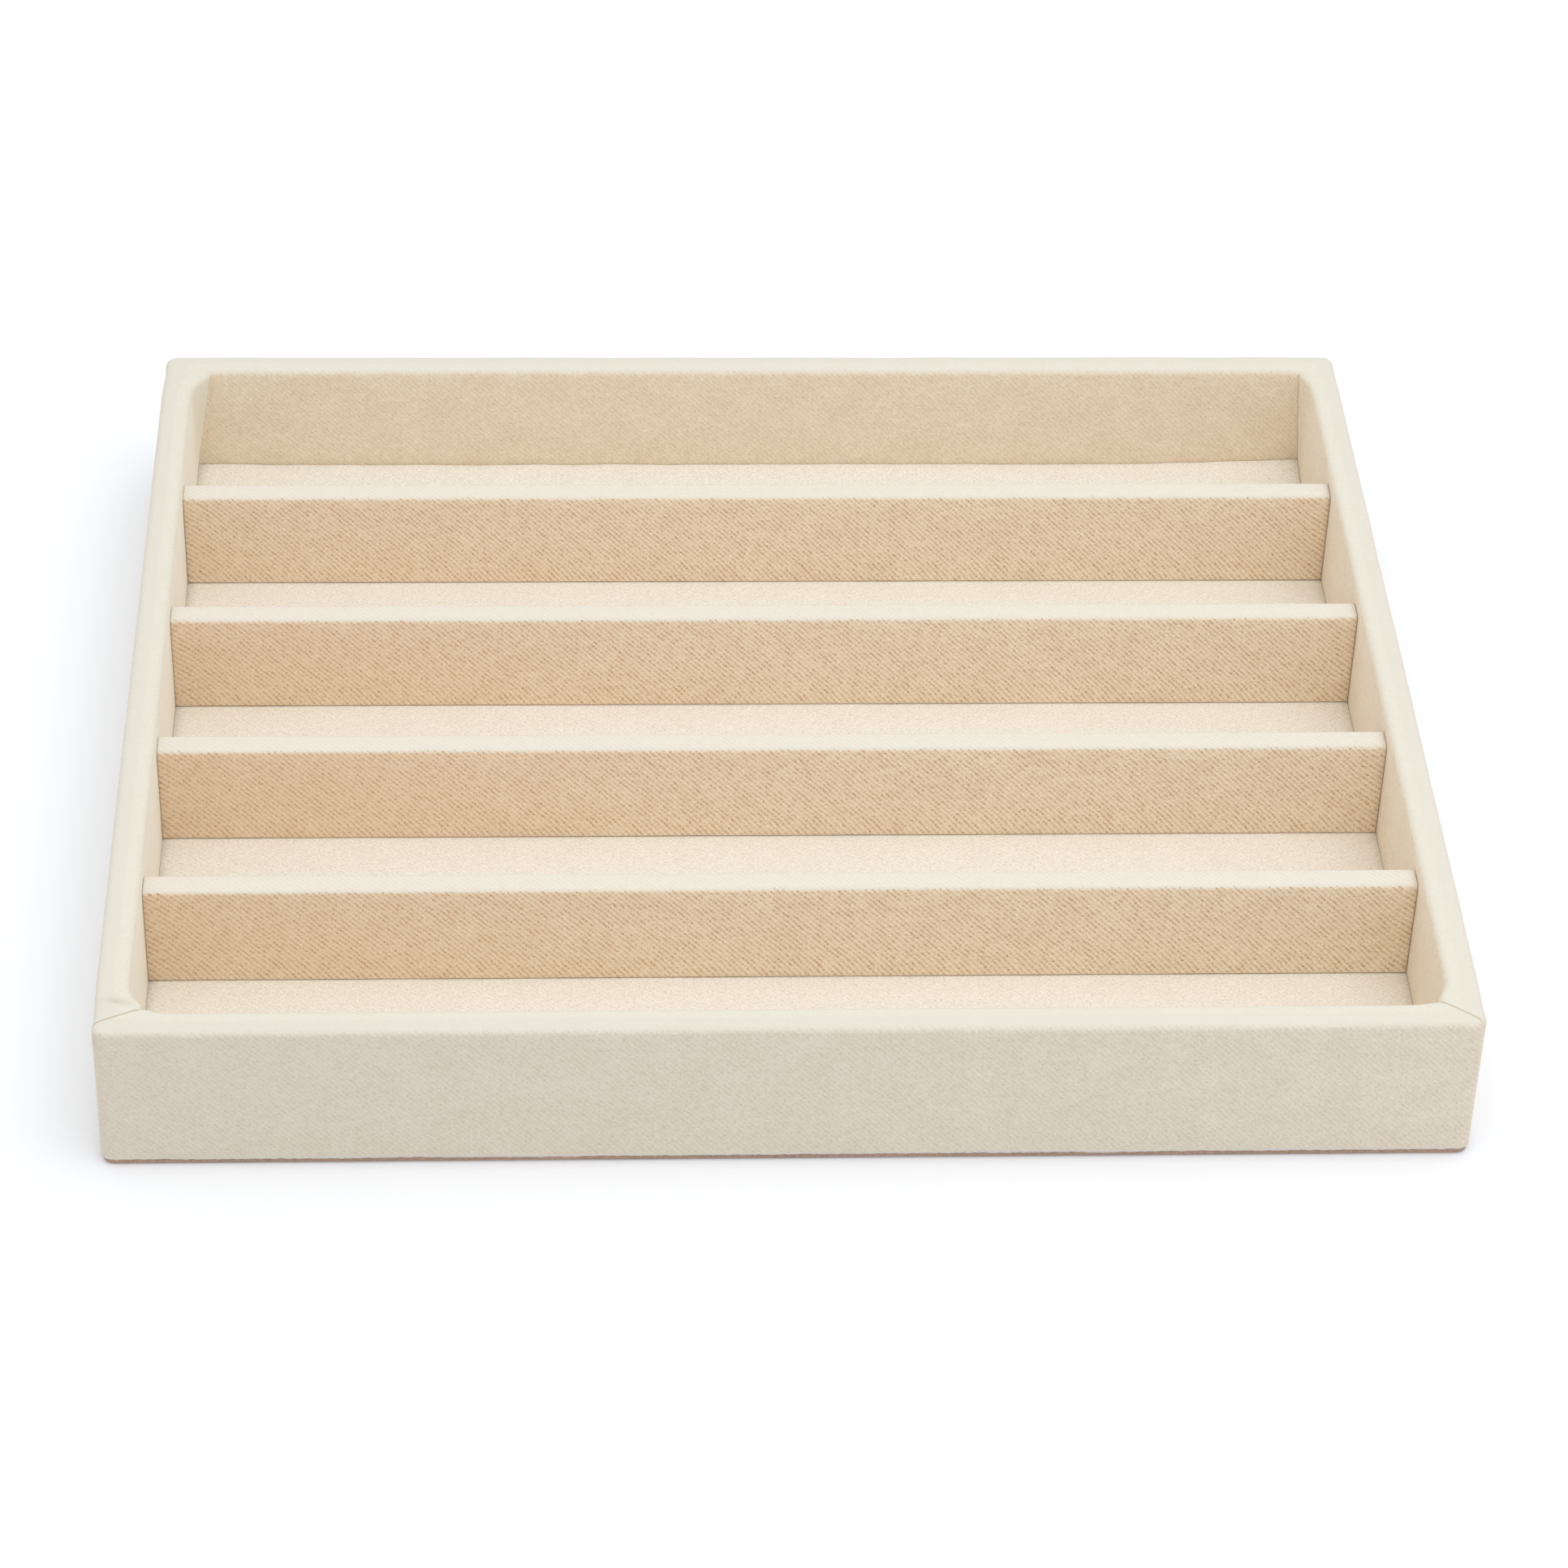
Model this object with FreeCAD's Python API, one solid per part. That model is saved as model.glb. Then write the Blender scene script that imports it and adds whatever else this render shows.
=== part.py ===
"""Jewelry tray: a cloth-covered board frame with a covered floor and four wrapped dividers.

Millimetres. X runs along the dividers, +Y to the rear and +Z up. The origin is the middle of the
underside, so the tray stands on Z = 0.
"""

import FreeCAD, Part
import math
import os

# Outside of the finished tray, over the cloth
tray_width = 305.0
tray_depth = 267.0
tray_height = 38.6

# Brushed twill with its glue, and the slit left where two cut edges of it meet
cloth = 0.8
seam_gap = 0.2

# Fibreboard walls and base
wall_board = 6.0
wall_edge_round = 1.0
corner_round = 2.2
base_board = 3.0

# Underside panel: a card in leather-cloth, set back from the face of the wall cloth
bottom_card = 1.2
bottom_skin = 0.4
bottom_setback = 0.4
bottom_edge_round = 0.4

# Floor pad: a card in the same cloth, which is turned under it along all four sides
floor_card = 2.0
floor_edge_round = 0.4
floor_hem = 12.0
floor_gap = 0.4

# Dividers: bars in cloth sleeves, standing on the floor pad and lower than the rim
divider_count = 4
divider_board = 5.0
divider_edge_round = 0.5
divider_drop = 4.0
divider_gap = 0.2

# Panel pins, driven flush with the face of the board
pin_diameter = 1.2
pin_length = 22.0
pin_head_diameter = 2.2
pin_head = 0.5
pin_taper = 2.0
pin_point_diameter = 0.2
corner_pin_inset = 8.0
base_pin_margin = 15.0
base_pin_count_wide = 4
base_pin_count_deep = 3

# Levels and spans that follow from these
base_bottom = bottom_skin + bottom_card
base_top = base_bottom + base_board
board_top = tray_height - cloth
floor_top = base_top + cloth + floor_card + cloth
divider_top = tray_height - divider_drop
wall = wall_board + 2 * cloth
divider = divider_board + 2 * cloth
opening_width = tray_width - 2 * wall
opening_depth = tray_depth - 2 * wall
compartment = (opening_depth - divider_count * divider) / (divider_count + 1)

# How far a cutting block runs past the face that it cuts
overcut = 1.0

UP = FreeCAD.Vector(0, 0, 1)


def block(width, depth, bottom, top, y=0.0):
    """A plain block between two levels, centred on X = 0 and on the given Y."""
    corner = FreeCAD.Vector(-width / 2, y - depth / 2, bottom)
    return Part.makeBox(width, depth, top - bottom, corner)


def plate(width, depth, bottom, top, corner):
    """A block whose four upright edges are rounded."""
    plain = block(width, depth, bottom, top)
    upright = [edge for edge in plain.Edges if edge.BoundBox.ZLength > (top - bottom) / 2]
    return plain.makeFillet(corner, upright)


def soft_block(width, depth, bottom, top, edge_round, y=0.0):
    """A block with all its edges rounded, as a board is once it has been eased or wrapped."""
    plain = block(width, depth, bottom, top, y)
    return plain.makeFillet(edge_round, plain.Edges)


def edges_at(shape, level):
    """The edges that lie wholly at one level."""
    tolerance = 1e-4
    return [
        edge
        for edge in shape.Edges
        if abs(edge.BoundBox.ZMin - level) < tolerance and edge.BoundBox.ZLength < tolerance
    ]


def wall_ring(inset, bottom, pocket_bottom, top, extra_round):
    """The four walls in one ring, its faces drawn in by inset from the finished faces."""
    outside = plate(tray_width - 2 * inset, tray_depth - 2 * inset, bottom, top, corner_round + extra_round)
    pocket = block(opening_width + 2 * inset, opening_depth + 2 * inset, pocket_bottom, top + overcut)
    ring = outside.cut(pocket)
    return ring.makeFillet(wall_edge_round + extra_round, edges_at(ring, top))


def board_ring():
    """The wall boards as they stand on the base, before they are parted at the corners."""
    return wall_ring(cloth, base_top, base_top, board_top, 0.0)


def base_plate():
    """The base board under the walls, before its pins are driven."""
    return plate(tray_width - 2 * cloth, tray_depth - 2 * cloth, base_bottom, base_top, corner_round)


def pin(x, y, z, direction):
    """One panel pin with a flat head, a round shank and a tapered point, driven in from its head."""
    start = FreeCAD.Vector(x, y, z)
    taper_start = start + direction * (pin_length - pin_taper)
    head = Part.makeCylinder(pin_head_diameter / 2, pin_head, start, direction)
    shank = Part.makeCylinder(pin_diameter / 2, pin_length - pin_taper, start, direction)
    point = Part.makeCone(pin_diameter / 2, pin_point_diameter / 2, pin_taper, taper_start, direction)
    return head.fuse([shank, point]).removeSplitter()


def corner_pins():
    """Two pins at each corner, through the front or rear board into the end of a side board."""
    setback = max(wall_board / 2, corner_round + pin_head_diameter / 2)
    x = tray_width / 2 - cloth - setback
    y = tray_depth / 2 - cloth
    heights = [base_top + corner_pin_inset, board_top - corner_pin_inset]
    pins = []
    for side in (-1, 1):
        for end in (-1, 1):
            inward = FreeCAD.Vector(0, -end, 0)
            pins += [pin(side * x, end * y, height, inward) for height in heights]
    return Part.makeCompound(pins)


def spread(half_span, count):
    """Even places from one end of a span to the other."""
    return [half_span * (2 * k / (count - 1) - 1) for k in range(count)]


def base_pins():
    """Pins up through the base into the middle of each wall, clear of the pins at the corners."""
    clear = cloth + pin_length + base_pin_margin
    x_wall = tray_width / 2 - cloth - wall_board / 2
    y_wall = tray_depth / 2 - cloth - wall_board / 2
    pins = []
    for side in (-1, 1):
        for x in spread(tray_width / 2 - clear, base_pin_count_wide):
            pins.append(pin(x, side * y_wall, base_bottom, UP))
        for y in spread(tray_depth / 2 - clear, base_pin_count_deep):
            pins.append(pin(side * x_wall, y, base_bottom, UP))
    return Part.makeCompound(pins)


def parted_boards():
    """The front, rear, left and right wall boards, the side boards butted between the other two."""
    ring = board_ring()
    side_length = tray_depth - 2 * (cloth + wall_board)
    between = block(tray_width, side_length, base_top - overcut, tray_height)
    front, rear = sorted(ring.cut(between).Solids, key=lambda board: board.CenterOfMass.y)
    left, right = sorted(ring.common(between).Solids, key=lambda board: board.CenterOfMass.x)
    return front, rear, left, right


def corner_slit(side, end, reach, bottom):
    """A narrow upright cut from inside the tray along the mitre of one corner."""
    slit = Part.makeBox(
        overcut + reach,
        seam_gap,
        tray_height + overcut - bottom,
        FreeCAD.Vector(-overcut, -seam_gap / 2, bottom),
    )
    slit.rotate(FreeCAD.Vector(0, 0, 0), UP, math.degrees(math.atan2(end, side)))
    slit.translate(FreeCAD.Vector(side * opening_width / 2, end * opening_depth / 2, 0))
    return slit


def wall_cloth():
    """The cloth strip round the walls: down the outside, over the rim and down the inside.

    The mitre slits in the rim stop where its outer edge rounds over, so the strip runs on round the
    corners. At the front left corner its two ends meet and the slit goes right through.
    """
    skin = wall_ring(0.0, base_bottom, base_top, tray_height, cloth)
    skin = skin.cut([board_ring(), base_plate()])
    to_corner = (wall - cloth - corner_round) * math.sqrt(2) + corner_round
    to_round_over = to_corner - wall_edge_round
    through = to_corner + cloth + overcut
    slits = [corner_slit(side, end, to_round_over, base_top) for side, end in ((-1, 1), (1, -1), (1, 1))]
    slits.append(corner_slit(-1, -1, through, base_bottom - overcut))
    return skin.cut(slits)


def bottom_panel():
    """The card of the underside and the leather-cloth that covers its lower face and its edges."""
    width = tray_width - 2 * bottom_setback
    depth = tray_depth - 2 * bottom_setback
    corner = corner_round + cloth - bottom_setback
    wrapped = plate(width, depth, 0.0, base_bottom, corner)
    wrapped = wrapped.makeFillet(bottom_edge_round + bottom_skin, edges_at(wrapped, 0.0))
    card = plate(
        width - 2 * bottom_skin, depth - 2 * bottom_skin, bottom_skin, base_bottom, corner - bottom_skin
    )
    card = card.makeFillet(bottom_edge_round, edges_at(card, bottom_skin))
    return card, wrapped.cut(card)


def floor_pad():
    """The floor card and its cloth, which covers the top and the edges and is turned under."""
    width = opening_width - 2 * floor_gap
    depth = opening_depth - 2 * floor_gap
    wrapped = soft_block(width, depth, base_top, floor_top, floor_edge_round + cloth)
    card_width = width - 2 * cloth
    card_depth = depth - 2 * cloth
    card_bottom = base_top + cloth
    card = soft_block(card_width, card_depth, card_bottom, card_bottom + floor_card, floor_edge_round)
    inside_hem = block(
        card_width - 2 * floor_hem, card_depth - 2 * floor_hem, base_top - overcut, card_bottom + overcut
    )
    return card, wrapped.cut([card, inside_hem])


def wrapped_divider(y):
    """One divider's board and its cloth sleeve, whose cut edges meet underneath."""
    length = opening_width - 2 * divider_gap
    wrapped = soft_block(length, divider, floor_top, divider_top, divider_edge_round + cloth, y)
    board_length = length - 2 * cloth
    board_bottom = floor_top + cloth
    board = soft_block(
        board_length, divider_board, board_bottom, divider_top - cloth, divider_edge_round, y
    )
    seam = block(board_length, seam_gap, floor_top - overcut, board_bottom + overcut, y)
    return board, wrapped.cut([board, seam])


nodes = {}
nodes["bottom_card"], nodes["bottom_cover"] = bottom_panel()

nodes["base_pins"] = base_pins()
nodes["corner_pins"] = corner_pins()
driven = nodes["base_pins"].Solids + nodes["corner_pins"].Solids
nodes["base_board"] = base_plate().cut(driven)
wall_names = ("front_wall_board", "rear_wall_board", "left_wall_board", "right_wall_board")
for name, board in zip(wall_names, parted_boards()):
    nodes[name] = board.cut(driven)
nodes["wall_cloth"] = wall_cloth()

nodes["floor_card"], nodes["floor_cloth"] = floor_pad()

# Dividers are numbered from the front, with a compartment before, between and after them
for number in range(1, divider_count + 1):
    centre = -opening_depth / 2 + number * compartment + (number - 0.5) * divider
    board, sleeve = wrapped_divider(centre)
    nodes[f"divider_board_{number}"] = board
    nodes[f"divider_cloth_{number}"] = sleeve

os.makedirs("parts", exist_ok=True)
for name, shape in nodes.items():
    shape.exportStep(f"parts/{name}.step")
    print(name, len(shape.Solids), "solid(s)", round(shape.Volume, 1), "mm3")
print("compartment", round(compartment, 2), "mm wide,", round(divider_top - floor_top, 2), "mm deep")
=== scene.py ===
import bmesh
import bpy
import math
from mathutils import Matrix, Vector, noise


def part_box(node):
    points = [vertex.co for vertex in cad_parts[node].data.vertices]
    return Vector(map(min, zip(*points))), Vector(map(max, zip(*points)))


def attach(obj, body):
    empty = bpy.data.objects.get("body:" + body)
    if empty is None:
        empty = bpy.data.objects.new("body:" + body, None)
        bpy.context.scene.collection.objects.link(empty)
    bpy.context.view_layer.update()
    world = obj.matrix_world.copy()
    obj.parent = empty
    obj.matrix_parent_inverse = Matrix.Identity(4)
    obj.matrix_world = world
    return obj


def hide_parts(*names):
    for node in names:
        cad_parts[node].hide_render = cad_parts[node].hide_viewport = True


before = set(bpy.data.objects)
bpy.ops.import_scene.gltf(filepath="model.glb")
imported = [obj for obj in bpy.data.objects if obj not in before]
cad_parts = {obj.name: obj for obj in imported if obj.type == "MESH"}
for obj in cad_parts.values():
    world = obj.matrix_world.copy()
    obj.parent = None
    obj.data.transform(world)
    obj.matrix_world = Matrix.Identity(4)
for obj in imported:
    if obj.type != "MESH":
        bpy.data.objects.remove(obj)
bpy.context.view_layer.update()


# Underside panel: a thin grey card wrapped in brown leather-cloth, which is a woven cloth coated and
# embossed with a leather grain. It is glued under the base, and its wrapped edge shows as a narrow
# brown line below the twill.

mm = 0.001
X, Y, Z = Vector((1, 0, 0)), Vector((0, 1, 0)), Vector((0, 0, 1))
same_place = 1e-6
cover_low, cover_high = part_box("bottom_cover")
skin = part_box("bottom_card")[0].z - cover_low.z
cover_corner = 2.6 * mm
cover_fold = 0.45 * mm
cover_step = 6.0 * mm
cover_wave = 0.06 * mm
cover_wave_length = 9.0 * mm


def linear(hex_colour):
    """Turns an sRGB hex colour into the linear RGBA that a shader takes."""
    channels = [int(hex_colour[k:k + 2], 16) / 255 for k in (1, 3, 5)]
    return [c / 12.92 if c < 0.04045 else ((c + 0.055) / 1.055) ** 2.4 for c in channels] + [1.0]


def add_node(owner, kind, settings, inputs):
    """Adds a node with its settings, and sets each input to a value or links it to an output."""
    made = owner.node_tree.nodes.new(kind)
    for name, value in settings.items():
        setattr(made, name, value)
    for socket, value in inputs.items():
        if isinstance(value, bpy.types.NodeSocket):
            owner.node_tree.links.new(value, made.inputs[socket])
        else:
            made.inputs[socket].default_value = value
    return made


def new_finish(name):
    """An empty material, ready for its nodes."""
    made = bpy.data.materials.new(name)
    made.use_nodes = True
    made.node_tree.nodes.clear()
    return made


def dress(names, finish):
    """Gives CAD nodes a finish."""
    for name in names:
        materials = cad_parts[name].data.materials
        materials.clear()
        materials.append(finish)


def grey_card():
    """Pressed grey board made from waste paper: dull grey, with paler and darker fibres a few mm long."""
    fibre_width = 0.5 * mm
    made = new_finish("pressed_grey_card")
    place = add_node(made, "ShaderNodeTexCoord", {}, {})
    fibres = add_node(made, "ShaderNodeTexNoise", {}, {
        "Vector": place.outputs["Object"], "Scale": 1 / (4 * fibre_width), "Detail": 6.0, "Roughness": 0.7})
    colour = add_node(made, "ShaderNodeMix", {"data_type": "RGBA"}, {
        0: fibres.outputs["Fac"], 6: linear("#7d7770"), 7: linear("#b3aca2")})
    bump = add_node(made, "ShaderNodeBump", {}, {
        "Height": fibres.outputs["Fac"], "Strength": 0.5, "Distance": 0.05 * mm})
    shader = add_node(made, "ShaderNodeBsdfPrincipled", {}, {
        "Base Color": colour.outputs[2], "Roughness": 0.95, "Specular IOR Level": 0.2,
        "Normal": bump.outputs["Normal"]})
    add_node(made, "ShaderNodeOutputMaterial", {}, {"Surface": shader.outputs["BSDF"]})
    return made


def leather_cloth():
    """Coated cloth embossed with a fine grain: a plain satin tan, a little darker in the creases.

    The real grain is about a quarter of a millimetre, too fine for the picture, and is drawn coarser.
    """
    pebble = 0.6 * mm
    patch = 18 * mm
    made = new_finish("embossed_leather_cloth")
    place = add_node(made, "ShaderNodeTexCoord", {}, {})
    pebbles = add_node(made, "ShaderNodeTexVoronoi", {"feature": "SMOOTH_F1"}, {
        "Vector": place.outputs["Object"], "Scale": 1 / pebble, "Randomness": 1.0, "Smoothness": 0.6})
    cloud = add_node(made, "ShaderNodeTexNoise", {}, {
        "Vector": place.outputs["Object"], "Scale": 1 / patch, "Detail": 3.0})
    ground = add_node(made, "ShaderNodeMix", {"data_type": "RGBA"}, {
        0: cloud.outputs["Fac"], 6: linear("#ab8f7c"), 7: linear("#c3a58f")})
    crease = add_node(made, "ShaderNodeMapRange", {"interpolation_type": "SMOOTHSTEP"}, {
        "Value": pebbles.outputs["Distance"], "From Min": 0.3, "From Max": 0.8, "To Max": 0.35})
    colour = add_node(made, "ShaderNodeMix", {"data_type": "RGBA"}, {
        0: crease.outputs["Result"], 6: ground.outputs[2], 7: linear("#7c6352")})
    bump = add_node(made, "ShaderNodeBump", {"invert": True}, {
        "Height": pebbles.outputs["Distance"], "Strength": 0.5, "Distance": 0.03 * mm})
    shader = add_node(made, "ShaderNodeBsdfPrincipled", {}, {
        "Base Color": colour.outputs[2], "Roughness": 0.55, "IOR": 1.48, "Normal": bump.outputs["Normal"]})
    add_node(made, "ShaderNodeOutputMaterial", {}, {"Surface": shader.outputs["BSDF"]})
    return made


def block(low, high):
    """A closed block between two corners."""
    made = bmesh.new()
    place = Matrix.Translation((low + high) / 2) @ Matrix.Diagonal((*(high - low), 1.0))
    bmesh.ops.create_cube(made, size=1.0, matrix=place)
    return made


def faces_towards(mesh, direction):
    """The faces that look straight along a direction."""
    straight = 0.99
    return [face for face in mesh.faces if face.normal.dot(direction) > straight]


def round_edges(mesh, edges, radius, segments):
    """Rounds edges over, as cloth does where it is drawn round a board."""
    bmesh.ops.bevel(
        mesh, geom=edges, offset=radius, offset_type="OFFSET", affect="EDGES", segments=segments, profile=0.5,
        material=-1, clamp_overlap=False)


def cut_across(mesh, direction, places):
    """Cuts the faces through at each place along a direction, so that they can bend there."""
    on_the_cut = 1e-7
    for place in places:
        everything = mesh.verts[:] + mesh.edges[:] + mesh.faces[:]
        bmesh.ops.bisect_plane(
            mesh, geom=everything, dist=on_the_cut, plane_co=direction * place, plane_no=direction)


def even_places(low, high, step):
    """Places between two ends, about a step apart."""
    count = max(2, round((high - low) / step))
    return [low + (high - low) * k / count for k in range(1, count)]


def ripple(point, length, seed):
    """Smooth unevenness from about -1 to 1, whose waves are about twice the length long.

    Each seed reads the noise from another start.
    """
    start = Vector((17.3 * seed, 5.1, 2.7))
    return noise.noise(point / length + start)


def finished_piece(name, mesh, finish, thickness):
    """Makes a sheet mesh into a piece of cloth: its thickness lies inside the face that is seen."""
    data = bpy.data.meshes.new(name)
    mesh.normal_update()
    mesh.to_mesh(data)
    mesh.free()
    data.polygons.foreach_set("use_smooth", [True] * len(data.polygons))
    data.materials.append(finish)
    piece = bpy.data.objects.new(name, data)
    bpy.context.scene.collection.objects.link(piece)
    depth = piece.modifiers.new("thickness", "SOLIDIFY")
    depth.thickness = thickness
    depth.offset = -1.0
    depth.use_quality_normals = True
    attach(piece, "root")
    return piece


cover = block(cover_low, cover_high)
bmesh.ops.delete(cover, geom=faces_towards(cover, Z), context="FACES_ONLY")
upright = [edge for edge in cover.edges if abs(edge.verts[0].co.z - edge.verts[1].co.z) > cover_fold]
round_edges(cover, upright, cover_corner, segments=5)
underneath = [edge for edge in cover.edges if max(v.co.z for v in edge.verts) < cover_low.z + same_place]
round_edges(cover, underneath, cover_fold, segments=4)
cut_across(cover, X, even_places(cover_low.x, cover_high.x, cover_step))
cut_across(cover, Y, even_places(cover_low.y, cover_high.y, cover_step))
for vert in cover.verts:
    if vert.co.z > cover_low.z + cover_fold / 2:
        vert.co -= vert.normal * cover_wave * (1 + ripple(vert.co, cover_wave_length, seed=1))

underside_cover = finished_piece("underside_cover", cover, leather_cloth(), skin)
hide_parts("bottom_cover")
card_finish = grey_card()
dress(["bottom_card"], card_finish)


# Boards and pins: the base, the four walls and the divider cores are sawn from thin fibreboard. Steel
# panel pins hold the walls to the base and to each other. All of it ends up under the cloth.

def fibreboard():
    """Pressed wood fibre with a sanded face: even warm brown, speckled with short dark fibres."""
    fibre = 0.6 * mm
    made = new_finish("sanded_fibreboard")
    place = add_node(made, "ShaderNodeTexCoord", {}, {})
    fibres = add_node(made, "ShaderNodeTexNoise", {}, {
        "Vector": place.outputs["Object"], "Scale": 1 / (3 * fibre), "Detail": 8.0, "Roughness": 0.75})
    speckle = add_node(made, "ShaderNodeMapRange", {}, {
        "Value": fibres.outputs["Fac"], "From Min": 0.3, "From Max": 0.65})
    colour = add_node(made, "ShaderNodeMix", {"data_type": "RGBA"}, {
        0: speckle.outputs["Result"], 6: linear("#7a5c3e"), 7: linear("#b08e66")})
    bump = add_node(made, "ShaderNodeBump", {}, {
        "Height": fibres.outputs["Fac"], "Strength": 0.4, "Distance": 0.06 * mm})
    shader = add_node(made, "ShaderNodeBsdfPrincipled", {}, {
        "Base Color": colour.outputs[2], "Roughness": 0.85, "Specular IOR Level": 0.3,
        "Normal": bump.outputs["Normal"]})
    add_node(made, "ShaderNodeOutputMaterial", {}, {"Surface": shader.outputs["BSDF"]})
    return made


def drawn_steel():
    """Bright drawn steel wire: grey metal with faint die lines and duller patches of oil."""
    die_line = 0.15 * mm
    made = new_finish("drawn_steel_wire")
    place = add_node(made, "ShaderNodeTexCoord", {}, {})
    lines = add_node(made, "ShaderNodeTexNoise", {}, {
        "Vector": place.outputs["Object"], "Scale": 1 / (4 * die_line), "Detail": 4.0})
    dulled = add_node(made, "ShaderNodeMapRange", {}, {
        "Value": lines.outputs["Fac"], "To Min": 0.28, "To Max": 0.5})
    colour = add_node(made, "ShaderNodeMix", {"data_type": "RGBA"}, {
        0: lines.outputs["Fac"], 6: linear("#a9a9ab"), 7: linear("#cfcfcf")})
    shader = add_node(made, "ShaderNodeBsdfPrincipled", {}, {
        "Base Color": colour.outputs[2], "Metallic": 1.0, "Roughness": dulled.outputs["Result"]})
    add_node(made, "ShaderNodeOutputMaterial", {}, {"Surface": shader.outputs["BSDF"]})
    return made


board_names = [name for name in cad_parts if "board" in name]
dress(board_names, fibreboard())
dress(["base_pins", "corner_pins"], drawn_steel())


# Wall cloth: one strip of cream brushed twill, glued up the outside of the walls, over the rim and down
# the inside. It is slit along the mitre at each corner of the rim, its two ends butt at the front left
# corner, and its lower edge is left raw above the underside panel.

strip_low, strip_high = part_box("wall_cloth")
side_low, side_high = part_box("left_wall_board")
flap_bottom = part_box("base_board")[1].z
cloth = side_low.x - strip_low.x
wall = side_high.x - side_low.x + 2 * cloth
half_width, half_depth, rim = strip_high
corner_round = 3.0 * mm
rim_round = 1.8 * mm
round_segments = 6
sharp_angle = 1.0
fine_step, fine_reach, long_step = 0.9 * mm, 13.0 * mm, 2.4 * mm
merge_reach, sliver = 0.04 * mm, 0.02 * mm


def brushed_twill(name, nap, pit, top_highlight, top_highlight_span, weave, grain, flecks, clouds, rib_depth):
    """Cotton twill with a brushed face: matte cream, with the weave half hidden under a short raised nap.

    The ribs cross the threads, so that dark pits stand in rows, deep where the nap is thin and lost where
    it is thick. The real ribs lie 0.8 mm apart, too fine for the picture, and are drawn 1.1 mm apart.
    Grain is the nap itself, drawn coarser too, flecks are tufts of it and clouds are where it was stroked.
    Faces that look up get a painted highlight, paler over a span, as the light falls brightest on them.
    The warm mark is painted light bounced from the cream cloth, and the outside mark is painted shade, greyer
    the further left. Seams show a little tan, which also paints shade into gaps and dents, and raw edges a
    pale fringe.
    """
    ribs_per_mm, rib_height = Vector((0.64, 0.62, 0.0)), 0.5
    threads_per_mm, thread_height = Vector((0.84, -0.76, 0.0)), 0.22
    wander_length, wander_reach = 5 * mm, 0.6 * mm
    # Size and detail of the patches, and the least and most depth of the pits or the share of the nap
    pit_layers = [(2.4 * mm, 2.0, 0.5, 1.1), (0.9 * mm, 1.0, 0.7, 1.3)]
    nap_layers = [(0.6 * mm, 1.0, grain), (1.6 * mm, 3.0, flecks), (9.0 * mm, 3.0, clouds)]
    patchiness = 0.6
    lightest_shade = 0.15
    pits_kept = 0.5
    most_top_highlight = 0.8
    warm_bounce_colour, outside_shade_colour, seam_colour, fringe_colour = "#e8b88a", "#bfbcb2", "#b3966f", "#f1ece6"

    made = new_finish(name)
    flat = add_node(made, "ShaderNodeUVMap", {"uv_map": "weave"}, {}).outputs["UV"]
    marks = {}
    for attribute in ("crown", "warm_bounce", "outside", "seam", "fray"):
        mark = add_node(made, "ShaderNodeAttribute", {"attribute_name": attribute}, {})
        marks[attribute] = mark.outputs["Fac"]

    wander = add_node(made, "ShaderNodeTexNoise", {}, {
        "Vector": flat, "Scale": 1 / wander_length, "Detail": 2.0})
    laid = add_node(made, "ShaderNodeVectorMath", {"operation": "MULTIPLY_ADD"}, {
        0: wander.outputs["Color"], 1: [wander_reach] * 3, 2: flat})
    depths = []
    for per_mm, height in ((ribs_per_mm, rib_height), (threads_per_mm, thread_height)):
        phase = add_node(made, "ShaderNodeVectorMath", {"operation": "DOT_PRODUCT"}, {
            0: laid.outputs["Vector"], 1: per_mm * math.tau / mm})
        wave = add_node(made, "ShaderNodeMath", {"operation": "SINE"}, {0: phase.outputs["Value"]})
        depth = add_node(made, "ShaderNodeMath", {"operation": "MULTIPLY_ADD"}, {
            0: wave.outputs[0], 1: height, 2: 1 - height})
        depths.append(depth.outputs[0])
    for size, detail, least, most in pit_layers:
        patches = add_node(made, "ShaderNodeTexNoise", {}, {
            "Vector": flat, "Scale": 1 / size, "Detail": detail, "Roughness": patchiness})
        depth = add_node(made, "ShaderNodeMapRange", {"interpolation_type": "SMOOTHSTEP"}, {
            "Value": patches.outputs["Fac"], "From Min": 0.35, "From Max": 0.65,
            "To Min": least, "To Max": most})
        depths.append(depth.outputs["Result"])
    pits = depths[0]
    for depth in depths[1:]:
        pits = add_node(made, "ShaderNodeMath", {"operation": "MULTIPLY"}, {0: pits, 1: depth}).outputs[0]

    shade = add_node(made, "ShaderNodeMath", {"operation": "MULTIPLY_ADD"}, {
        0: pits, 1: weave, 2: lightest_shade - (grain + flecks + clouds) / 2}).outputs[0]
    for size, detail, share in nap_layers:
        tufts = add_node(made, "ShaderNodeTexNoise", {}, {
            "Vector": flat, "Scale": 1 / size, "Detail": detail, "Roughness": patchiness})
        shade = add_node(made, "ShaderNodeMath", {"operation": "MULTIPLY_ADD"}, {
            0: tufts.outputs["Fac"], 1: share, 2: shade}).outputs[0]
    # Painted highlight: faces that look up are painted paler, towards the top colour
    lifted = add_node(made, "ShaderNodeMath", {"operation": "MULTIPLY_ADD"}, {
        0: shade, 1: -pits_kept, 2: marks["crown"]})
    top_highlight_share = add_node(made, "ShaderNodeMapRange", {"interpolation_type": "SMOOTHSTEP"}, {
        "Value": lifted.outputs[0], "From Min": top_highlight_span[0], "From Max": top_highlight_span[1],
        "To Min": 0.0, "To Max": most_top_highlight})

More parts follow.
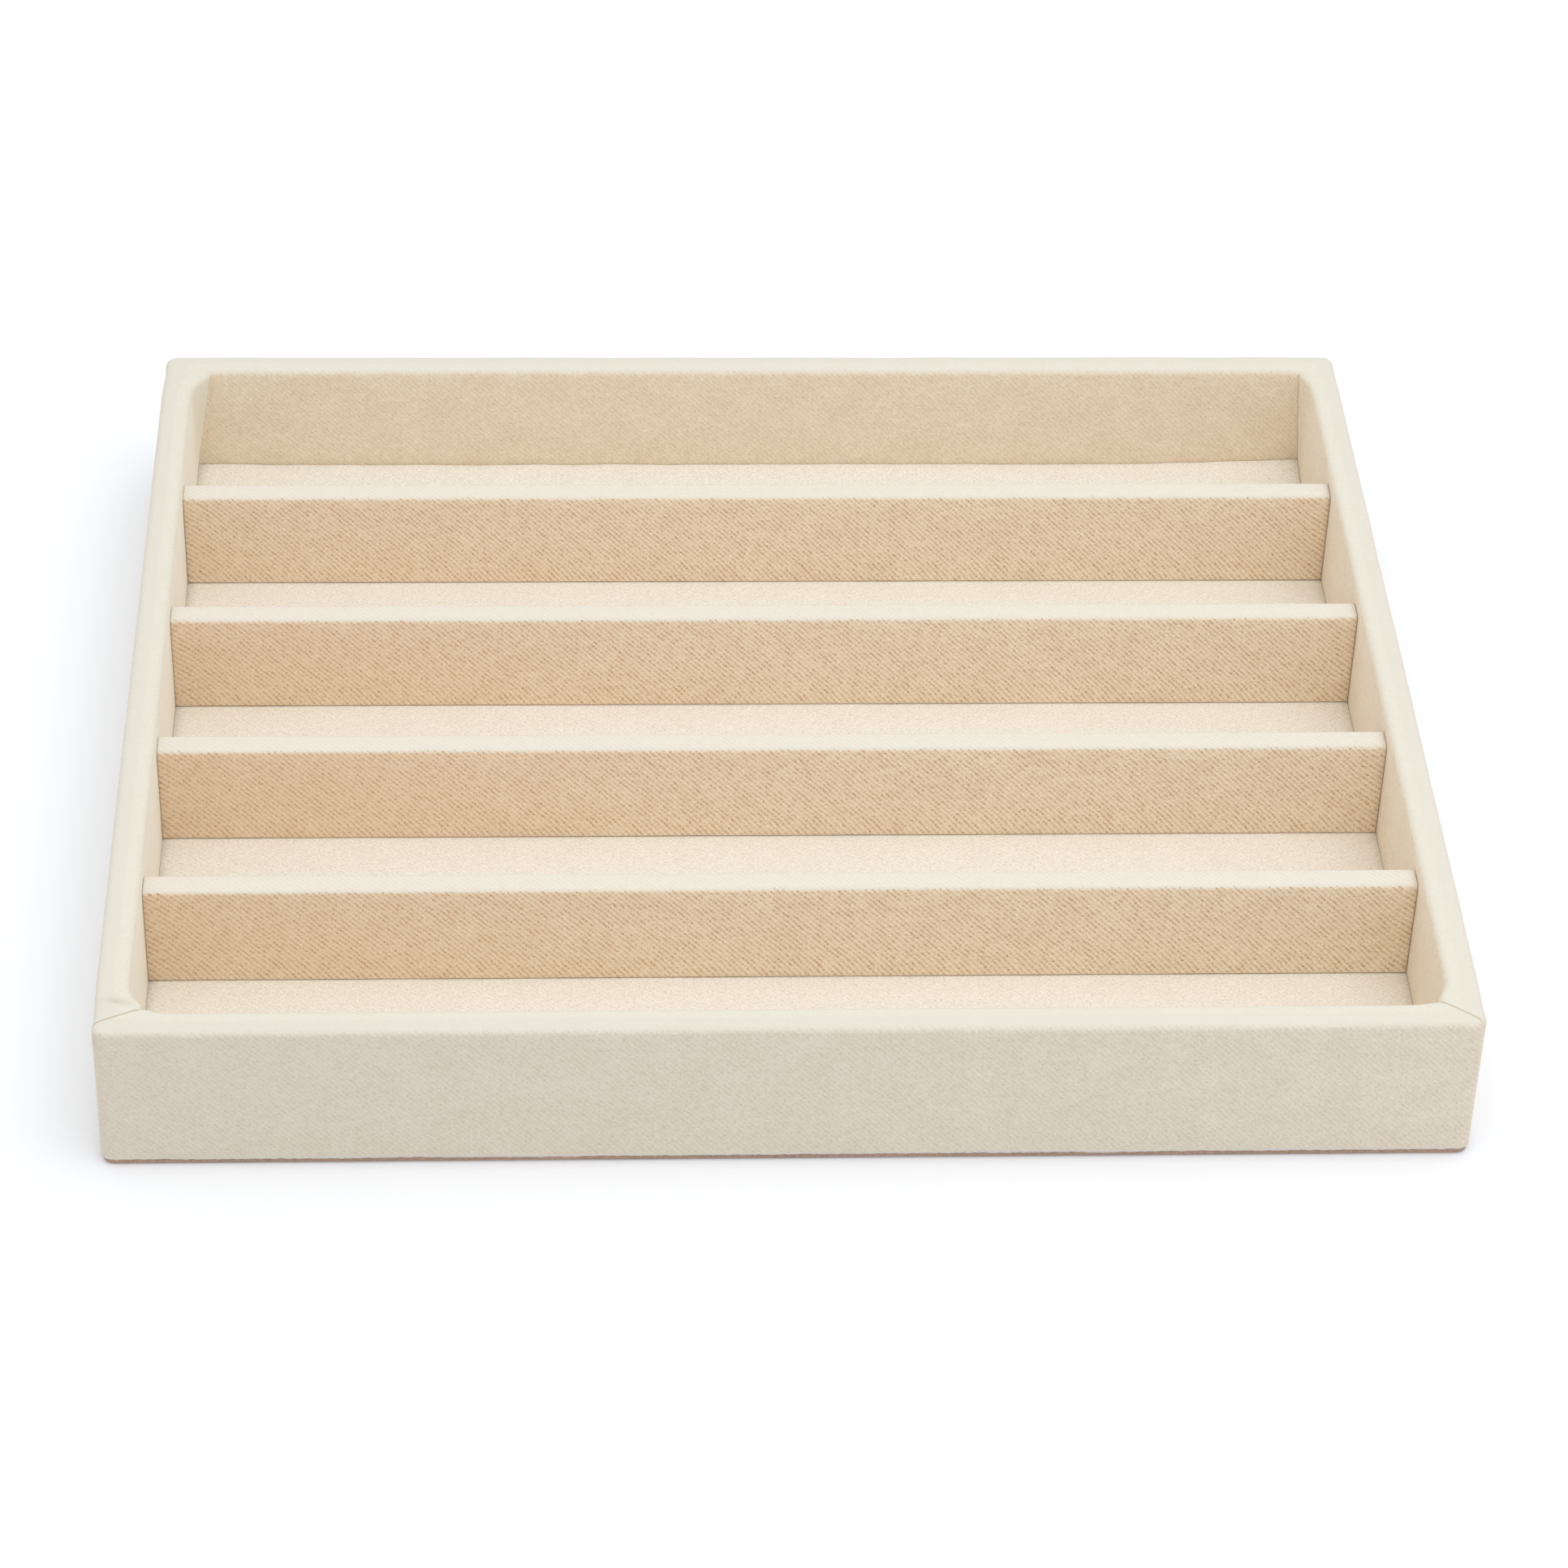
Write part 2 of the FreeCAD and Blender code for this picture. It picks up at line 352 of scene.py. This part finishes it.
    tints = [
        (shade, pit), (marks["warm_bounce"], warm_bounce_colour), (marks["outside"], outside_shade_colour),
        (top_highlight_share.outputs["Result"], top_highlight), (marks["seam"], seam_colour), (marks["fray"], fringe_colour)]
    colour = linear(nap)
    for share, tint in tints:
        colour = add_node(made, "ShaderNodeMix", {"data_type": "RGBA"}, {
            0: share, 6: colour, 7: linear(tint)}).outputs[2]
    bump = add_node(made, "ShaderNodeBump", {"invert": True}, {
        "Height": shade, "Strength": 1.0, "Distance": rib_depth})
    shader = add_node(made, "ShaderNodeBsdfPrincipled", {}, {
        "Base Color": colour, "Roughness": 0.9, "IOR": 1.45, "Specular IOR Level": 0.2,
        "Sheen Weight": 1.0, "Sheen Roughness": 0.3, "Sheen Tint": linear("#fffaf0"),
        "Normal": bump.outputs["Normal"]})
    add_node(made, "ShaderNodeOutputMaterial", {}, {"Surface": shader.outputs["BSDF"]})
    return made


def close_places(low, high, fine, reach, coarse):
    """Places for cuts along a side: close together near both ends, and wider apart between them."""
    near = [fine * k for k in range(1, int(reach / fine) + 1)]
    middle = even_places(low + near[-1], high - near[-1], coarse)
    return [low + d for d in near] + middle + [high - d for d in near]


def swell(distance, reach):
    """A smooth hump, 1 in its middle and gone at about twice its reach."""
    return math.exp(-((distance / reach) ** 2))


def uneven(point, waves):
    """Unevenness from several waves, each given by its height, its length and a seed of its own."""
    return sum(height * ripple(point, length, seed) for height, length, seed in waves)


def over_the_top(inset, height, top, thick, radius):
    """How far up a wrapped cloth a point lies: up one face, round over the top and down the other."""
    start = top - radius
    near = min(inset, thick - inset)
    if near >= radius:
        run = start + radius * math.pi / 2 + near - radius
    elif height > start:
        run = start + radius * math.atan2(height - start, radius - near)
    else:
        run = height
    crown = start + radius * math.pi / 2 + thick / 2 - radius
    return run if inset < thick / 2 else 2 * crown - run


def lay_weave(mesh, chart):
    """Keeps where each corner of a face lies on the flat cloth, which the weave follows."""
    mesh.normal_update()
    weave = mesh.loops.layers.uv.new("weave")
    for face in mesh.faces:
        middle = face.calc_center_median()
        for loop in face.loops:
            loop[weave].uv = chart(loop.vert.co, middle, face.normal)


# The crown mark sets the painted highlight on faces that look up
def mark_crown(mesh):
    """Marks how far each point looks up."""
    crown = mesh.verts.layers.float.new("crown")
    for vert in mesh.verts:
        vert[crown] = max(0.0, vert.normal.z)
    return crown


def inset_of(point):
    """How far a point of the walls lies in from the nearest outer face."""
    return min(half_width - abs(point.x), half_depth - abs(point.y))


def strip_chart(point, middle, normal):
    """Where a point of the walls lies on the flat strip, which starts at the front left corner."""
    if half_depth - abs(middle.y) < half_width - abs(middle.x):
        outward, reach, before = Y * math.copysign(1, middle.y), half_depth, half_width
    else:
        outward, reach, before = X * math.copysign(1, middle.x), half_width, half_depth
    along = Z.cross(outward)
    quarter_turns = round(math.atan2(along.y, along.x) / (math.pi / 2)) % 4
    start = quarter_turns * (half_width + half_depth)
    inset = reach - point.dot(outward)
    return start + before + point.dot(along), over_the_top(inset, point.z, rim, wall, rim_round)


strip = block(strip_low, strip_high)
bmesh.ops.delete(strip, geom=faces_towards(strip, -Z), context="FACES_ONLY")
top = faces_towards(strip, Z)
bmesh.ops.inset_region(strip, faces=top, thickness=wall, use_even_offset=True)
bmesh.ops.delete(strip, geom=top, context="FACES_ONLY")
mouth = [edge for edge in strip.edges if edge.is_boundary and edge.verts[0].co.z > rim - same_place]
flaps = bmesh.ops.extrude_edge_only(strip, edges=mouth)["geom"]
flap_ends = [part for part in flaps if isinstance(part, bmesh.types.BMVert)]
bmesh.ops.translate(strip, verts=flap_ends, vec=Z * (flap_bottom - rim))
bmesh.ops.recalc_face_normals(strip, faces=strip.faces)

outer_corners = []
for edge in strip.edges:
    start, end = [vert.co for vert in edge.verts]
    if abs(start.z - end.z) > wall and abs(start.x) > half_width - wall / 2:
        outer_corners.append(edge)
round_edges(strip, outer_corners, corner_round, round_segments)

# Rounding leaves points on the mitre line of the rim: they are drawn together in its middle
for vert in strip.verts:
    if vert.co.z > rim - same_place and corner_round / 2 < inset_of(vert.co) < wall - same_place:
        vert.co.x = math.copysign(half_width - wall / 2, vert.co.x)
        vert.co.y = math.copysign(half_depth - wall / 2, vert.co.y)
strip.normal_update()
rim_edges = []
for edge in strip.edges:
    if min(v.co.z for v in edge.verts) > rim - same_place and edge.calc_face_angle(0.0) > sharp_angle:
        rim_edges.append(edge)
round_edges(strip, rim_edges, rim_round, round_segments)

cut_across(strip, X, close_places(strip_low.x, strip_high.x, fine_step, fine_reach, long_step))
cut_across(strip, Y, close_places(strip_low.y, strip_high.y, fine_step, fine_reach, long_step))
cut_across(strip, Z, [strip_low.z + cloth] + even_places(strip_low.z + cloth, rim - rim_round, long_step))
cut_across(strip, Z, [rim - rim_round - long_step * k for k in (0.5, 1.5)])

# Seams that show on the rim: the butted ends at the front left corner, and the mitre at the front right
butt_setback = 3.3 * mm
butt_lap = 0.4 * mm
left_inner = Vector((wall - half_width, wall - half_depth - butt_lap, 0))
left_outer = Vector((-half_width, butt_setback - half_depth, 0))
right_inner = Vector((half_width - wall, wall - half_depth, 0))
right_outer = Vector((half_width, -half_depth, 0))
seams = [(left_inner, left_outer), (right_inner, right_outer)]
seam_width = 0.15 * mm
seam_reach = 1.6 * wall
seam_cuts = [k * seam_width for k in (-4, -2, -1, 0, 1, 2, 4)]
for inner, outer in seams:
    across = Z.cross(outer - inner).normalized()
    for shift in seam_cuts:
        faces = []
        for face in strip.faces:
            middle = face.calc_center_median()
            at_butt = outer is left_outer and middle.x < -half_width + corner_round
            if (middle - outer).xy.length < seam_reach and (at_butt or middle.z > rim - 2 * rim_round):
                faces.append(face)
        edges = list({edge for face in faces for edge in face.edges})
        verts = list({vert for face in faces for vert in face.verts})
        bmesh.ops.bisect_plane(
            strip, geom=verts + edges + faces, dist=same_place, plane_co=outer + across * shift,
            plane_no=across)

raw_edges = [
    edge for edge in strip.edges if edge.is_boundary and max(v.co.z for v in edge.verts) < flap_bottom / 2]
long_raw_edges = [edge for edge in raw_edges if edge.calc_length() > long_step / 2]
bmesh.ops.subdivide_edges(strip, edges=long_raw_edges, cuts=2)
bmesh.ops.remove_doubles(strip, verts=strip.verts, dist=merge_reach)
bmesh.ops.dissolve_degenerate(strip, edges=strip.edges, dist=sliver)

# How the cloth lies: uneven all over, flatter inside, sunk at the seams and swollen beside them
strip_waves = [(0.10 * mm, 14 * mm, 2), (0.04 * mm, 4 * mm, 3)]
fray_waves = [(0.22 * mm, 0.9 * mm, 4), (0.12 * mm, 9 * mm, 5)]
inside_share = 0.3
inside_reach = 0.1 * mm
seam_depth, seam_tan = 0.1 * mm, 0.8
seam_overrun = 1.0 * mm
lip_height, lip_place, lip_reach = 0.05 * mm, 1.2 * mm, 0.9 * mm
ply_height, ply_place, ply_reach = 0.18 * mm, -2.2 * mm, 1.6 * mm
butt_depth, butt_tan = 0.12 * mm, 0.6
outside_reach = 0.5 * mm


def rim_seams(point):
    """How the seams across the rim move a point out, and how much tan they show there."""
    lift, tan_share = 0.0, 0.0
    for inner, outer in seams:
        along = (outer - inner).normalized()
        from_seam = (point - outer).dot(Z.cross(along))
        to_outer = (outer - point).dot(along)
        if -seam_overrun < to_outer < (outer - inner).length + seam_overrun / 2:
            tan_share = max(tan_share, seam_tan * swell(from_seam, seam_width))
            lift -= seam_depth * swell(from_seam, 1.5 * seam_width)
            lift += lip_height * swell(abs(from_seam) - lip_place, lip_reach)
            if outer is left_outer:
                lift += ply_height * swell(from_seam - ply_place, ply_reach)
    return lift, tan_share


# A shallow bowed dent in the left rim, and a small tuck below the front left corner of the rim
dent_place = Vector((-half_width + 3.9 * mm, -half_depth + 10.6 * mm, rim))
dent_along = Vector((0.81, -0.58, 0.0))
dent_length, dent_width, dent_bow = 2.4 * mm, 1.0 * mm, 0.06 / mm
# The dent's hollow is painted tan as painted shade
dent_depth, dent_shade = 0.55 * mm, 0.25
tuck_place = Vector((-half_width + 0.2 * mm, -half_depth + 1.3 * mm, rim - 3.6 * mm))
tuck_width, tuck_height, tuck_tan = 0.5 * mm, 1.4 * mm, 0.7


def rim_dent(point):
    """How far into the dent a point lies, from 0 to 1."""
    away = point - dent_place
    from_middle, aside = away.dot(dent_along), away.dot(Z.cross(dent_along))
    return swell(from_middle, dent_length) * swell(aside + dent_bow * from_middle ** 2, dent_width)


# Cloth bunched in the inner corners: side, end, and how far it stands in along X and along Y
bunches = [
    (-1, -1, 3.3 * mm, 1.4 * mm), (1, -1, 2.3 * mm, 0.8 * mm),
    (-1, 1, 4.4 * mm, 0.3 * mm), (1, 1, 2.2 * mm, 0.3 * mm)]
bunch_reach = 4.8 * mm
bunch_foot = 11.0 * mm


def bunched(point):
    """How far bunched cloth stands in at a point, most at the rim and nothing at its foot."""
    push = Vector((0.0, 0.0, 0.0))
    tall = max(0.0, (point.z - bunch_foot) / (rim - bunch_foot))
    for side, end, along_x, along_y in bunches:
        corner = Vector((side * (half_width - wall), end * (half_depth - wall)))
        near = tall * swell((point.xy - corner).length, bunch_reach)
        push -= Vector((side * along_x, end * along_y, 0.0)) * near
    return push


# Painted light and shade: the inside of the left wall, which faces the lamp, is painted pale, and the outside
# is painted greyer, the left side most
left_inside_light = 1.05
looks_right = 0.5
outside_shade_share, outside_shade_to_left = 0.35, 0.08
rear_fold = Vector((half_width - wall, half_depth - wall))
rear_fold_tan, rear_fold_reach = 0.4, 0.1 * mm

lay_weave(strip, strip_chart)
crown_mark = mark_crown(strip)
seam_mark = strip.verts.layers.float.new("seam")
fray_mark = strip.verts.layers.float.new("fray")
outside_mark = strip.verts.layers.float.new("outside")
shifts = []
for vert in strip.verts:
    point = vert.co.copy()
    inset = inset_of(point)
    lift = uneven(point, strip_waves)
    if inset > wall - inside_reach and point.z < rim - rim_round:
        lift *= inside_share
    at_tuck = swell((point - tuck_place).xy.length, tuck_width) * swell(point.z - tuck_place.z, tuck_height)
    tan_share = tuck_tan * at_tuck
    if point.z > rim - rim_round / 2:
        seam_lift, seam_share = rim_seams(point)
        lift += seam_lift
        tan_share = max(tan_share, seam_share)
    if inset < outside_reach and point.x < 0:
        at_butt = swell(point.y - left_outer.y, seam_width)
        lift -= butt_depth * at_butt
        tan_share = max(tan_share, butt_tan * at_butt)
    if point.z > rim - rim_round:
        # Painted shade: the dent's hollow is painted tan
        dent = rim_dent(point)
        lift -= dent_depth * dent
        tan_share = max(tan_share, dent_shade * dent)
    if (point.xy - rear_fold).length < rear_fold_reach:
        tan_share = rear_fold_tan
    shift = vert.normal * lift + bunched(point)
    if vert.is_boundary and point.z < flap_bottom / 2:
        vert[fray_mark] = 1.0
        shift.z += uneven(point, fray_waves)
    vert[seam_mark] = tan_share
    # Painted light: the inside face of the left wall, which faces the lamp, gets the painted highlight of
    # faces that look up
    if inset > wall - rim_round and vert.normal.x > looks_right:
        vert[crown_mark] = max(vert[crown_mark], left_inside_light)
    # Painted shade: the outside is painted greyer, more so to the left, away from the lamp
    if inset < wall / 2:
        vert[outside_mark] = outside_shade_share - outside_shade_to_left * point.x / half_width
    shifts.append(shift)
for vert, shift in zip(strip.verts, shifts):
    vert.co += shift

wall_twill = brushed_twill(
    "brushed_cream_twill", nap="#f9efdb", pit="#c29d76", top_highlight="#ebe9dd", top_highlight_span=(0.0, 0.9), weave=0.18,
    grain=0.55, flecks=0.45, clouds=0.3, rib_depth=0.012 * mm)
wall_strip = finished_piece("wall_cloth_strip", strip, wall_twill, cloth)
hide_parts("wall_cloth")


# Floor pad: a card wrapped in the same twill, with the cloth turned under and glued along all four
# sides. It is pressed in between the walls before the dividers, and its rear edge stands up a little,
# most at its right end.

pad_low, pad_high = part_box("floor_cloth")
pad_round = 1.2 * mm
pad_hem = 12.0 * mm
pad_step = 3.0 * mm
pad_waves = [(0.08 * mm, 16 * mm, 6)]
pad_sink = 0.1 * mm
rear_waves = [(0.25 * mm, 8 * mm, 7)]
rear_lift, rear_reach = 1.3 * mm, 9 * mm
right_lift, right_reach = 1.2 * mm, 26 * mm
left_lift, left_reach = 0.4 * mm, 18 * mm
sideways = 0.8


def pad_chart(point, middle, normal):
    """Where a point of the pad lies on its flat cloth: straight above it, or beside its edges."""
    if abs(normal.x) > sideways:
        return math.copysign(pad_high.x + pad_high.z - point.z, point.x), point.y
    if abs(normal.y) > sideways:
        return point.x, math.copysign(pad_high.y + pad_high.z - point.z, point.y)
    return point.x, point.y


def pressed(place, end, radius, reach, share):
    """Draws the rounded lower end of a stretch out by a reach and squeezes its round to a share of it.

    That is how a wrapped end sits where it is pressed against something. The stretch beyond it gives way.
    """
    slack = 4 * radius
    from_end = place - end
    if from_end > slack:
        return place
    if from_end < radius:
        return end - reach + from_end * share
    gave = radius * (1 - share) + reach
    return place - gave * (slack - from_end) / (slack - radius)


pad = block(pad_low, pad_high)
round_edges(pad, pad.edges[:], pad_round, segments=4)
pad.normal_update()
underside = faces_towards(pad, -Z)
bmesh.ops.inset_region(pad, faces=underside, thickness=pad_hem, use_even_offset=True)
bmesh.ops.delete(pad, geom=underside, context="FACES_ONLY")
cut_across(pad, X, even_places(pad_low.x, pad_high.x, pad_step))
cut_across(pad, Y, even_places(pad_low.y, pad_high.y, pad_step))
lay_weave(pad, pad_chart)
for vert in pad.verts:
    point = vert.co.copy()
    vert.co.x = pressed(vert.co.x, pad_low.x, pad_round, reach=0.38 * mm, share=0.05)
    vert.co.x = -pressed(-vert.co.x, -pad_high.x, pad_round, reach=0.37 * mm, share=0.1)
    vert.co.y = pressed(vert.co.y, pad_low.y, pad_round, reach=0.25 * mm, share=0.5)
    vert.co.y = -pressed(-vert.co.y, -pad_high.y, pad_round, reach=0.33 * mm, share=0.4)
    if point.z > (pad_low.z + pad_high.z) / 2:
        curl = rear_lift + uneven(point, rear_waves)
        curl += right_lift * swell(pad_high.x - point.x, right_reach)
        curl += left_lift * swell(point.x - pad_low.x, left_reach)
        lift = uneven(point, pad_waves) + curl * swell(pad_high.y - point.y, rear_reach)
        vert.co.z += max(lift, -pad_sink)

# The floor's twill is a paler copy of the same cloth: painted light, as the floor faces the light
lit_floor_twill = brushed_twill(
    "brushed_floor_twill_lit_copy", nap="#fffcf4", pit="#cfbea3", top_highlight="#f3efe4", top_highlight_span=(0.5, 1.0), weave=0.12,
    grain=1.0, flecks=0.3, clouds=0.15, rib_depth=0.012 * mm)
floor_cloth = finished_piece("floor_pad_cloth", pad, lit_floor_twill, cloth)
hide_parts("floor_cloth")
dress(["floor_card"], card_finish)


# Dividers: four bars of fibreboard, each in a sleeve of the twill that is drawn round it and glued with
# its cut edges underneath. They stand on the floor pad, lower than the rim, and their ends are tucked in
# against the side walls.

divider_count = sum(name.startswith("divider_cloth_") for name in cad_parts)
divider_round = 1.3 * mm
divider_step, divider_fine, divider_reach = 2.2 * mm, 0.8 * mm, 5.0 * mm
sleeve_slit = 0.2 * mm
sleeve_sink = 0.06 * mm
foot_wave, foot_wave_length = 0.12 * mm, 1.6 * mm
# Painted shade: shares of tan for the gaps at the ends of each sleeve and under its foot
right_end_shade, left_end_shade, foot_shade = 0.9, 0.35, 0.2
cloth_shift, end_shift = 317 * mm, 100 * mm
# Painted light: how warm the left end of each divider is painted, as light bounced from the left wall, from
# the front one to the rear one
warm_bounce_shares = (0.2, 0.22, 0.18, 0.1)
warm_bounce_reach = 100 * mm
# The dividers' twill is a darker, warmer copy of the same cloth: painted shade, for fronts that stand in the
# shade between the walls
shaded_divider_twill = brushed_twill(
    "brushed_divider_twill_shaded_copy", nap="#fff4de", pit="#c89d74", top_highlight="#efece1", top_highlight_span=(0.1, 0.5), weave=0.6,
    grain=0.6, flecks=0.25, clouds=0.25, rib_depth=0.02 * mm)


def sleeve(number):
    """One divider's sleeve, slightly uneven, as cloth glued round a bar by hand is.

    Each is cut from another stretch of the cloth. Its left end is painted warmer, as light bounced from the
    left wall.
    """
    low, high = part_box(f"divider_cloth_{number}")
    centre = (low + high) / 2
    thick = high.y - low.y
    waves = [(0.09 * mm, 16 * mm, 10 + number), (0.04 * mm, 3 * mm, 20 + number)]

    def chart(point, middle, normal):
        if abs(normal.x) > sideways:
            return point.y + number * end_shift, point.z
        run = over_the_top(point.y - low.y, point.z, high.z, thick, divider_round)
        return point.x + number * cloth_shift, run

    made = block(low, high)
    round_edges(made, made.edges[:], divider_round, segments=5)
    cut_across(made, X, close_places(low.x, high.x, divider_fine, divider_reach, divider_step))
    cut_across(made, Z, even_places(low.z + divider_round, high.z - divider_round, divider_step))
    cut_across(made, Y, [centre.y - sleeve_slit / 2, centre.y + sleeve_slit / 2])
    made.normal_update()
    slit = [
        face for face in faces_towards(made, -Z)
        if abs(face.calc_center_median().y - centre.y) < sleeve_slit / 2]
    bmesh.ops.delete(made, geom=slit, context="FACES")
    lay_weave(made, chart)
    mark_crown(made)
    end_shade_mark = made.verts.layers.float.new("seam")
    warm_bounce_mark = made.verts.layers.float.new("warm_bounce")
    for vert in made.verts:
        # Painted shade: the ends and the foot of each sleeve are painted tan, for the shade in the gaps at
        # the walls and on the floor
        point = vert.co.copy()
        end_shade = right_end_shade * swell(high.x - point.x, divider_round)
        end_shade += left_end_shade * swell(point.x - low.x, divider_round)
        vert[end_shade_mark] = max(end_shade, foot_shade * swell(point.z - low.z, divider_round / 2))
        vert[warm_bounce_mark] = warm_bounce_shares[number - 1] * swell(point.x - low.x, warm_bounce_reach)
        vert.co.x = pressed(vert.co.x, low.x, divider_round, reach=0.18 * mm, share=0.06)
        vert.co.x = -pressed(-vert.co.x, -high.x, divider_round, reach=0.17 * mm, share=0.1)
        vert.co.z = pressed(vert.co.z, low.z, divider_round, reach=0.0, share=0.4)
        if point.z > low.z + divider_round:
            vert.co += vert.normal * (uneven(point, waves) - sleeve_sink)
        else:
            vert.co.z += foot_wave * max(0.0, ripple(point, foot_wave_length, seed=30 + number))
    return finished_piece(f"divider_sleeve_{number}", made, shaded_divider_twill, cloth)


for number in range(1, divider_count + 1):
    piece = sleeve(number)
    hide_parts(f"divider_cloth_{number}")


# Studio: a white paper floor without an edge in view, one large soft lamp high up at the front right, and
# even light from all round. The camera looks down on the tray from the front.

paper_reach = 6.0
paper_drop = 0.2 * mm
paper_glow_near, paper_glow_far = 0.1, 0.6
paper_glow_reach = 0.3
all_round = 0.8
lamp_place = Vector((0.25, -0.34, 1.3))
lamp_width, lamp_depth = 1.2, 0.9
lamp_power = 4.8
camera_place = Vector((-50.61, -916.98, 725.03)) * mm
camera_yaw = math.radians(3.408)
camera_pitch = math.radians(38.240)
camera_roll = math.radians(1.851)
camera_lens, camera_sensor = 109.94, 36.0


def seen_share(owner):
    """1 for what the camera sees, straight or in a mirror or glass, and 0 for light on the way."""
    path = add_node(owner, "ShaderNodeLightPath", {}, {})
    mirrored = add_node(owner, "ShaderNodeMath", {"operation": "MAXIMUM"}, {
        0: path.outputs["Is Glossy Ray"], 1: path.outputs["Is Transmission Ray"]})
    seen = add_node(owner, "ShaderNodeMath", {"operation": "MAXIMUM"}, {
        0: path.outputs["Is Camera Ray"], 1: mirrored.outputs[0]})
    return seen.outputs[0]


def white_paper():
    """Matte white paper that turns to pure white away from the tray, and takes its shadow near it."""
    made = new_finish("white_backdrop_paper")
    place = add_node(made, "ShaderNodeTexCoord", {}, {})
    aside = add_node(made, "ShaderNodeVectorMath", {"operation": "ABSOLUTE"}, {0: place.outputs["Object"]})
    past = add_node(made, "ShaderNodeVectorMath", {"operation": "SUBTRACT"}, {
        0: aside.outputs["Vector"], 1: (half_width, half_depth, 0.0)})
    sides = add_node(made, "ShaderNodeSeparateXYZ", {}, {"Vector": past.outputs["Vector"]})
    away = add_node(made, "ShaderNodeMath", {"operation": "MAXIMUM"}, {
        0: sides.outputs["X"], 1: sides.outputs["Y"]})
    glow = add_node(made, "ShaderNodeMapRange", {}, {
        "Value": away.outputs[0], "From Min": 0.0, "From Max": paper_glow_reach,
        "To Min": paper_glow_near, "To Max": paper_glow_far})
    shown = add_node(made, "ShaderNodeMath", {"operation": "MULTIPLY"}, {
        0: seen_share(made), 1: glow.outputs["Result"]})
    shader = add_node(made, "ShaderNodeBsdfPrincipled", {}, {
        "Base Color": linear("#f4f7fc"), "Roughness": 1.0, "Specular IOR Level": 0.0,
        "Emission Color": linear("#ffffff"), "Emission Strength": shown.outputs[0]})
    add_node(made, "ShaderNodeOutputMaterial", {}, {"Surface": shader.outputs["BSDF"]})
    return made


paper = bmesh.new()
bmesh.ops.create_grid(paper, x_segments=1, y_segments=1, size=paper_reach)
bmesh.ops.translate(paper, verts=paper.verts, vec=-Z * paper_drop)
paper_data = bpy.data.meshes.new("paper_floor")
paper.to_mesh(paper_data)
paper.free()
paper_data.materials.append(white_paper())
paper_floor = bpy.data.objects.new("paper_floor", paper_data)
bpy.context.scene.collection.objects.link(paper_floor)

world = bpy.data.worlds.new("studio")
bpy.context.scene.world = world
world.use_nodes = True
world.node_tree.nodes.clear()
strength = add_node(world, "ShaderNodeMath", {"operation": "MULTIPLY_ADD"}, {
    0: seen_share(world), 1: 1.0 - all_round, 2: all_round})
light = add_node(world, "ShaderNodeBackground", {}, {
    "Color": linear("#ffffff"), "Strength": strength.outputs[0]})
add_node(world, "ShaderNodeOutputWorld", {}, {"Surface": light.outputs["Background"]})

lamp_data = bpy.data.lights.new("soft_box", "AREA")
lamp_data.shape = "RECTANGLE"
lamp_data.size = lamp_width
lamp_data.size_y = lamp_depth
lamp_data.energy = lamp_power
lamp = bpy.data.objects.new("soft_box", lamp_data)
lamp.matrix_world = Matrix.Translation(lamp_place) @ lamp_place.to_track_quat("Z", "Y").to_matrix().to_4x4()
bpy.context.scene.collection.objects.link(lamp)

camera_data = bpy.data.cameras.new("camera")
camera_data.sensor_width = camera_sensor
camera_data.lens = camera_lens
camera_data.clip_start = 10 * mm
camera = bpy.data.objects.new("camera", camera_data)
camera.matrix_world = (
    Matrix.Translation(camera_place) @ Matrix.Rotation(-camera_yaw, 4, "Z") @
    Matrix.Rotation(math.pi / 2 - camera_pitch, 4, "X") @ Matrix.Rotation(camera_roll, 4, "Z"))
bpy.context.scene.collection.objects.link(camera)
bpy.context.scene.camera = camera
bpy.context.scene.view_settings.view_transform = "Standard"
